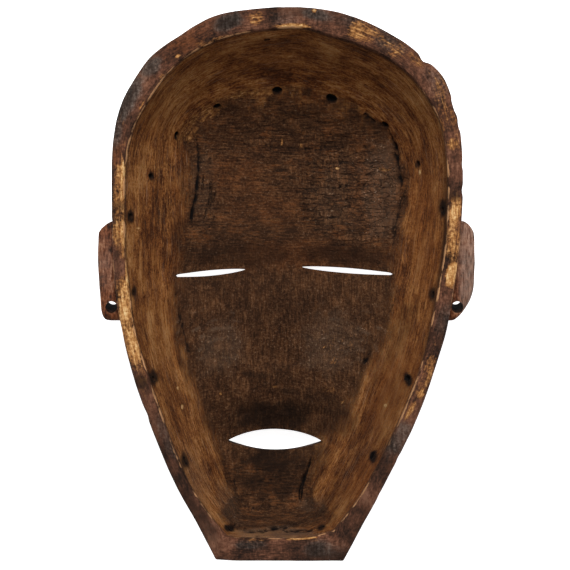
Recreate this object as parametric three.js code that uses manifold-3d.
// A wooden face mask of central African style, carved from one block and hollowed behind.
// It lies on its face with the hollow up: forehead, nose tip and lips each have a small flat spot.
// Millimetres. +X is to the right and +Y from chin to crown, looking down into the hollow; +Z is up.
// The origin is on the surface that the mask lies on, under the middle of its outline.
// A plain domed block is shaped first. Then the face's features and the ears are joined or cut,
// the three resting spots are cut flat, and the hollow and the holes are cut last.
import * as THREE from "three";
import { mergeVertices } from "three/addons/utils/BufferGeometryUtils.js";
import Module from "manifold-3d";

// Main sizes
const RIM_HEIGHT = 94; // from the surface it lies on to the flat back rim
const WALL = 9; // horizontal thickness of the side walls below the rim
const RIM_CHAMFER = 1.2; // worn edges of the rim

// The outline, station by station, anticlockwise from the right corner of the chin over the crown.
// outer and inner are the two edges of the rim; floor is where the side wall meets the hollow's floor.
const STATIONS = [
  { outer: [27.5, -130.5], inner: [20.5, -118.5], floor: [11, -116] }, // right corner of the chin
  { outer: [45, -95], inner: [39.5, -92], floor: [16, -86] }, // jaw
  { outer: [67, -48], inner: [61.3, -45.5], floor: [36, -42] }, // cheek
  { outer: [79.5, 0.5], inner: [72.5, 0.5], floor: [52, 0.5] }, // ear
  { outer: [82.5, 50], inner: [76, 50], floor: [56, 48] }, // temple
  { outer: [76.5, 87.5], inner: [68.5, 83.5], floor: [51, 70] }, // upper temple
  { outer: [58.5, 111.5], inner: [51.5, 103.3], floor: [35, 86] }, // side of the crown
  { outer: [31.5, 125.5], inner: [26.5, 115.6], floor: [17, 93.5] },
  { outer: [0, 130.5], inner: [0, 119.8], floor: [-2, 96.5] }, // crown
  { outer: [-33.5, 125.5], inner: [-28, 116.2], floor: [-22.5, 92] },
  { outer: [-59, 111.5], inner: [-51, 103.5], floor: [-38, 84] }, // side of the crown
  { outer: [-76.5, 87.5], inner: [-68.5, 82.5], floor: [-47, 70] }, // upper temple
  { outer: [-82.5, 50], inner: [-76.2, 50], floor: [-46, 48] }, // temple
  { outer: [-80.5, -1.5], inner: [-74.3, -1.5], floor: [-51, -1.5] }, // ear
  { outer: [-70.5, -48], inner: [-65, -46], floor: [-46, -44] }, // cheek
  { outer: [-52, -95], inner: [-46.5, -92.5], floor: [-28.5, -88] }, // jaw
  { outer: [-34.5, -129.5], inner: [-30, -117], floor: [-25, -114.5] }, // left corner of the chin
];

// Depths below the rim along the face's axis, at even steps from chin to crown
const DEPTH_START = -130;
const DEPTH_STEP = 25;
const FACE_DEPTHS = [50, 80, 84.5, 82, 81, 82, 87, 93.7, 94.6, 80, 52];
const FLOOR_DEPTHS = [40, 69, 75.5, 72.5, 71.5, 72.5, 76, 82.3, 82, 65, 40];
const FACE_FALL = 0.0052; // how fast the face curves back to each side, per millimetre
const FLOOR_FALL = 0.005;

// The face leans a little, so its axis isn't square to the outline.
const AXIS_AT_EYES = -3.5;
const AXIS_LEAN = 0.03;

// The pierced openings: ends of each eye slit, and the mouth
const EYES = [
  { from: [-54.3, 4.1], to: [-20.5, 7.1], height: 3.4 },
  { from: [7.6, 8.3], to: [52.3, 5.1], height: 3 },
];
const MOUTH = { from: [-29.3, -78.4], to: [18.1, -79.2], height: 11 };
const PIERCING = { depth: 48, below: 5, facets: 10 };

// Carving of the face: half sizes along X, Y and Z, and how far each centre is behind the face
const SOCKET = { past: 13, half: [24, 14], behind: -8 };
const LID = { past: 4.5, half: [8, 6.5], behind: 6 };
const NOSE = { root: [16, 14, 7.5], tip: [-36, 11.5, 12.5] }; // y, z and radius at each end
const NOSE_TIP = { y: -36, half: [12.5, 9, 12.5] };
const NOSTRIL_WING = { side: 10.5, y: -36.5, z: 14, half: [7, 8, 9] };
const LIPS = { half: [30, 13.5, 15], z: 11 };
const CHIN = { y: -103, half: [18, 10, 8.5], z: 17.5 };

// Ears, seen from behind: how far they stand out, their ends, and their depth below the rim
const EAR = { reach: 89.6, narrower: 1.5, top: 30.5, bottom: -18, round: 7, near: 10, far: 27, sunk: 68 };
const CONCHA = { past: 2, up: 3, half: [6, 16, 5.5] };
const LOBE_HOLE = { out: 83, y: -11.5, radius: 2.8, length: 40, lean: THREE.MathUtils.degToRad(14) };

// Small drilled holes: where each opens in the hollow, its radius, and how steeply it drops outwards
const BROW_HOLES = [
  { at: [-65.3, 52.4], radius: 1.9, drop: 0.35 },
  { at: [-53, 72.5], radius: 2, drop: 0.5 },
  { at: [-34, 87], radius: 2, drop: 0.75 },
  { at: [-4.8, 95], radius: 2.5, drop: 0.8 },
  { at: [22.3, 90.5], radius: 2.5, drop: 0.8 },
  { at: [47.5, 77], radius: 2.3, drop: 0.6 },
  { at: [63.2, 58.3], radius: 2, drop: 0.35 },
];
const RIM_HOLE_RADIUS = 1.8;
const RIM_HOLE_DROP = 0.1;
const DRILL = { length: 26, inside: 5, crownFrom: 70, sideLean: 0.35 };
const RIM_HOLES = [
  [-8.9, 115.6], [-73.4, 33.2], [-72, -4.2], [-62.6, -44.8], [-47.2, -84.2], [-25.5, -115.6],
  [-6.2, -117.3], [16, -116.2], [41.2, -81], [57.6, -44.2], [69.4, -4.3], [73.6, 35],
];
const RIM_HOLE_DEPTH = 14; // below the rim, at the chin, where the wall stands upright
const CHIN_HOLES_BELOW = -110;

// Number of facets
const FLANK_FACETS = 54;
const CHIN_FACETS = 6;
const OUTER_WALL_RINGS = 5;
const FACE_RINGS = 13;
const INNER_WALL_RINGS = 5;
const FLOOR_RINGS = 10;
const FEATURE_FACETS = [20, 12];
const NOSE_FACETS = 16;
const HOLE_FACETS = 6;

const clamp = THREE.MathUtils.clamp;

// Both surfaces close on a point in the mouth, which the opening takes away.
const POLE = new THREE.Vector2(...MOUTH.from).lerp(new THREE.Vector2(...MOUTH.to), 0.5);

// A closed curve through one edge of every station, with sharp corners at the chin.
const flank = (edge) => new THREE.SplineCurve(STATIONS.map((s) => new THREE.Vector2(...s[edge])));
const outerFlank = flank("outer");

function closedEdge(edge) {
  const curve = flank(edge);
  const points = [];
  for (let i = 0; i <= FLANK_FACETS; i++) {
    points.push(curve.getPoint(outerFlank.getUtoTmapping(i / FLANK_FACETS)));
  }
  const [left, right] = [points.at(-1), points[0]];
  for (let i = 1; i < CHIN_FACETS; i++) {
    points.push(left.clone().lerp(right, i / CHIN_FACETS));
  }
  return points;
}

const OUTER = closedEdge("outer");
const INNER = closedEdge("inner");
const FLOOR = closedEdge("floor");
const AROUND = OUTER.length;

// Where the outer wall turns into the face: the floor's edge, moved out by the wall.
const FACE_EDGE = FLOOR.map((point, i) => {
  const out = OUTER[i].clone().sub(point);
  return point.clone().add(out.setLength(Math.min(WALL, 0.62 * out.length())));
});

const axisAt = (y) => AXIS_AT_EYES + AXIS_LEAN * y;

function depthAlong(depths, y) {
  const curve = new THREE.SplineCurve(depths.map((d, i) => new THREE.Vector2(i, d)));
  const last = depths.length - 1;
  return curve.getPoint(clamp((y - DEPTH_START) / DEPTH_STEP / last, 0, 1)).y;
}

// Depth of the plain domed face below the rim
function faceDepth(x, y) {
  return depthAlong(FACE_DEPTHS, y) - FACE_FALL * (x - axisAt(y)) ** 2;
}

// Depth of the hollow's floor below the rim
function floorDepth(x, y) {
  return depthAlong(FLOOR_DEPTHS, y) - FLOOR_FALL * (x - axisAt(y)) ** 2;
}

// Share of a wall's depth that is reached at a share of its run, from the rim: steep, then easing.
const wallShare = (run) => 1.5 * run - 0.5 * run * run;

// A ball's surface pressed onto rings of points, from a pole above to a pole below.
function pressedBall(top, rings, bottom) {
  const ball = new THREE.SphereGeometry(1, AROUND, rings.length + 1);
  const position = ball.getAttribute("position");
  for (let row = 0; row <= rings.length + 1; row++) {
    for (let i = 0; i <= AROUND; i++) {
      const pole = row === 0 ? top : bottom;
      const p = row === 0 || row > rings.length ? pole : rings[row - 1][i % AROUND];
      position.setXYZ(row * (AROUND + 1) + i, p.x, p.y, p.z);
    }
  }
  return ball;
}

const ringAt = (edge, height) => edge.map((p) => new THREE.Vector3(p.x, p.y, height));

// Rings down a wall, from one edge to another whose depth is known.
function wallRings(from, to, depthOf, count, start) {
  return Array.from({ length: count }, (_, k) =>
    from.map((p, i) => {
      const q = p.clone().lerp(to[i], (k + 1) / count);
      const depth = start + (depthOf(to[i].x, to[i].y) - start) * wallShare((k + 1) / count);
      return new THREE.Vector3(q.x, q.y, RIM_HEIGHT - depth);
    }),
  );
}

// Rings over a face or floor, from its edge to the pole.
function facingRings(edge, depthOf, count) {
  return Array.from({ length: count - 1 }, (_, k) =>
    edge.map((p) => {
      const q = p.clone().lerp(POLE, (k + 1) / count);
      return new THREE.Vector3(q.x, q.y, RIM_HEIGHT - depthOf(q.x, q.y));
    }),
  );
}

// An edge moved towards another one by a fixed distance.
const moved = (edge, towards, distance) =>
  edge.map((p, i) => p.clone().add(towards[i].clone().sub(p).setLength(distance)));

function blockGeometry() {
  const rings = [
    ringAt(moved(OUTER, INNER, RIM_CHAMFER), RIM_HEIGHT),
    ringAt(OUTER, RIM_HEIGHT - RIM_CHAMFER),
    ...wallRings(OUTER, FACE_EDGE, faceDepth, OUTER_WALL_RINGS, RIM_CHAMFER),
    ...facingRings(FACE_EDGE, faceDepth, FACE_RINGS),
  ];
  const bottom = new THREE.Vector3(POLE.x, POLE.y, RIM_HEIGHT - faceDepth(POLE.x, POLE.y));
  return pressedBall(new THREE.Vector3(0, 0, RIM_HEIGHT), rings, bottom);
}

function hollowGeometry() {
  const clear = 5; // how far the cutter stands above the rim
  const mouthOfHollow = moved(INNER, OUTER, RIM_CHAMFER);
  const rings = [
    ringAt(mouthOfHollow, RIM_HEIGHT + clear),
    ringAt(mouthOfHollow, RIM_HEIGHT),
    ringAt(INNER, RIM_HEIGHT - RIM_CHAMFER),
    ...wallRings(INNER, FLOOR, floorDepth, INNER_WALL_RINGS, RIM_CHAMFER),
    ...facingRings(FLOOR, floorDepth, FLOOR_RINGS),
  ];
  const bottom = new THREE.Vector3(POLE.x, POLE.y, RIM_HEIGHT - floorDepth(POLE.x, POLE.y));
  return pressedBall(new THREE.Vector3(0, 0, RIM_HEIGHT + clear), rings, bottom);
}

// A ball stretched to three half sizes
function oval([x, y, z], halfX, halfY, halfZ) {
  return new THREE.SphereGeometry(1, ...FEATURE_FACETS).scale(halfX, halfY, halfZ).translate(x, y, z);
}

// An oval round an eye slit, as far past its ends as the feature says
function eyeOval({ from, to }, { past, half, behind }) {
  const [a, b] = [new THREE.Vector2(...from), new THREE.Vector2(...to)];
  const { x, y } = a.clone().lerp(b, 0.5);
  const height = RIM_HEIGHT - faceDepth(x, y) + behind;
  return oval([x, y, height], a.distanceTo(b) / 2 + past, ...half);
}

// The long nose, from its root between the eyes to its tip
function noseGeometry() {
  const [rootY, rootZ, rootRadius] = NOSE.root;
  const [tipY, tipZ, tipRadius] = NOSE.tip;
  const root = new THREE.Vector3(axisAt(rootY), rootY, rootZ);
  const tip = new THREE.Vector3(axisAt(tipY), tipY, tipZ);
  const along = root.clone().sub(tip);
  const nose = new THREE.CylinderGeometry(rootRadius, tipRadius, along.length(), NOSE_FACETS);
  const turn = new THREE.Quaternion().setFromUnitVectors(new THREE.Vector3(0, 1, 0), along.normalize());
  const middle = root.lerp(tip, 0.5);
  return nose.applyQuaternion(turn).translate(middle.x, middle.y, middle.z);
}

// What stands proud of the plain face
function facialFeatures() {
  const wing = NOSTRIL_WING;
  return [
    ...EYES.map((eye) => eyeOval(eye, LID)),
    noseGeometry(),
    oval([axisAt(NOSE_TIP.y), NOSE_TIP.y, NOSE.tip[1]], ...NOSE_TIP.half),
    ...[-1, 1].map((s) => oval([axisAt(wing.y) + s * wing.side, wing.y, wing.z], ...wing.half)),
    oval([POLE.x, POLE.y, LIPS.z], ...LIPS.half),
    oval([axisAt(CHIN.y), CHIN.y, CHIN.z], ...CHIN.half),
  ];
}

// Everything below the surface that the mask lies on
function restingCut() {
  const [width, length, height] = [200, 300, 20];
  return new THREE.BoxGeometry(width, length, height).translate(0, 0, -height / 2);
}

const EAR_MIDDLE = RIM_HEIGHT - (EAR.near + EAR.far) / 2;

// An ear, seen from behind: a lug with rounded outer corners, on the side that the sign gives.
function earGeometry(sign) {
  const { reach, narrower, top, bottom, round, near, far, sunk } = EAR;
  const lobe = reach - narrower;
  const shape = new THREE.Shape().moveTo(sunk, bottom).lineTo(lobe - round, bottom);
  shape.quadraticCurveTo(lobe, bottom, lobe, bottom + round).lineTo(reach, top - round);
  shape.quadraticCurveTo(reach, top, reach - round, top).lineTo(sunk, top);
  const lug = new THREE.ExtrudeGeometry(shape, { depth: far - near, bevelEnabled: false, curveSegments: 5 });
  lug.translate(0, 0, (near - far) / 2);
  return (sign > 0 ? lug : lug.rotateY(Math.PI)).translate(0, 0, EAR_MIDDLE);
}

// The scooped side of an ear, which leaves a raised curl round it
function conchaGeometry(sign) {
  const { past, up, half } = CONCHA;
  return oval([sign * (EAR.reach + past), (EAR.top + EAR.bottom) / 2 + up, EAR_MIDDLE], ...half);
}

function lobeHoleGeometry(sign) {
  const { out, y, radius, length, lean } = LOBE_HOLE;
  const drill = new THREE.CylinderGeometry(radius, radius, length, 2 * HOLE_FACETS);
  return drill.rotateX(Math.PI / 2 - lean).translate(sign * out, y, EAR_MIDDLE);
}

// A slit or mouth with pointed ends, cut straight through the face.
function openingGeometry({ from, to, height }) {
  const [a, b] = [new THREE.Vector2(...from), new THREE.Vector2(...to)];
  const middle = a.clone().lerp(b, 0.5);
  const shape = new THREE.Shape().moveTo(a.x, a.y);
  shape.quadraticCurveTo(middle.x, middle.y - height, b.x, b.y);
  shape.quadraticCurveTo(middle.x, middle.y + height, a.x, a.y);
  const { depth, below, facets } = PIERCING;
  const through = new THREE.ExtrudeGeometry(shape, { depth, bevelEnabled: false, curveSegments: facets });
  return through.translate(0, 0, -below);
}

// Depth of the hollow's surface at a point of its side wall, found between the rim and the floor.
function wallDepth(x, y) {
  const point = new THREE.Vector2(x, y);
  let best = { gap: Infinity, depth: 0 };
  INNER.forEach((rim, i) => {
    const run = FLOOR[i].clone().sub(rim);
    const share = clamp(point.clone().sub(rim).dot(run) / run.lengthSq(), 0, 1);
    const gap = rim.clone().addScaledVector(run, share).distanceTo(point);
    if (gap < best.gap) {
      best = { gap, depth: floorDepth(FLOOR[i].x, FLOOR[i].y) * wallShare(share) };
    }
  });
  return best.depth;
}

// A drill that starts inside the hollow and goes out through the wall, dropping as it goes.
function drillGeometry([x, y], radius, drop, depth) {
  const { length, inside, crownFrom, sideLean } = DRILL;
  const drill = new THREE.CylinderGeometry(radius, radius, length, HOLE_FACETS);
  const lean = Math.abs(y) > crownFrom ? 1 : sideLean;
  const outwards = new THREE.Vector3(x - axisAt(y), y * lean, 0);
  outwards.setLength(1).setZ(-drop).normalize();
  const turn = new THREE.Quaternion().setFromUnitVectors(new THREE.Vector3(0, 1, 0), outwards);
  const start = new THREE.Vector3(x, y, RIM_HEIGHT - depth).addScaledVector(outwards, length / 2 - inside);
  return drill.applyQuaternion(turn).translate(start.x, start.y, start.z);
}

const wasm = await Module();
wasm.setup();

function solid(geometry) {
  const bare = geometry.clone().deleteAttribute("normal").deleteAttribute("uv");
  const merged = mergeVertices(bare, 1e-4);
  return new wasm.Manifold(
    new wasm.Mesh({
      numProp: 3,
      vertProperties: merged.getAttribute("position").array,
      triVerts: new Uint32Array(merged.index.array),
    }),
  );
}

function geometryOf(body) {
  const mesh = body.getMesh();
  const geometry = new THREE.BufferGeometry();
  geometry.setAttribute("position", new THREE.BufferAttribute(mesh.vertProperties, 3));
  geometry.setIndex(new THREE.BufferAttribute(mesh.triVerts, 1));
  geometry.computeVertexNormals();
  return geometry;
}

function carveMask() {
  let body = solid(blockGeometry());
  for (const eye of EYES) {
    body = body.subtract(solid(eyeOval(eye, SOCKET)));
  }
  for (const feature of facialFeatures()) {
    body = body.add(solid(feature));
  }
  body = body.subtract(solid(restingCut()));
  for (const sign of [1, -1]) {
    const ear = solid(earGeometry(sign)).subtract(solid(conchaGeometry(sign)));
    body = body.add(ear).subtract(solid(lobeHoleGeometry(sign)));
  }
  body = body.subtract(solid(hollowGeometry()));
  for (const opening of [...EYES, MOUTH]) {
    body = body.subtract(solid(openingGeometry(opening)));
  }
  for (const { at, radius, drop } of BROW_HOLES) {
    body = body.subtract(solid(drillGeometry(at, radius, drop, wallDepth(...at))));
  }
  for (const at of RIM_HOLES) {
    const depth = at[1] < CHIN_HOLES_BELOW ? RIM_HOLE_DEPTH : wallDepth(...at);
    body = body.subtract(solid(drillGeometry(at, RIM_HOLE_RADIUS, RIM_HOLE_DROP, depth)));
  }
  return geometryOf(body);
}

const wood = new THREE.MeshStandardMaterial({ color: 0x4a2f1c, roughness: 0.62, metalness: 0 });
const mask = new THREE.Mesh(carveMask(), wood);
mask.name = "carved_mask";

const group = new THREE.Group();
group.add(mask);
export default group;
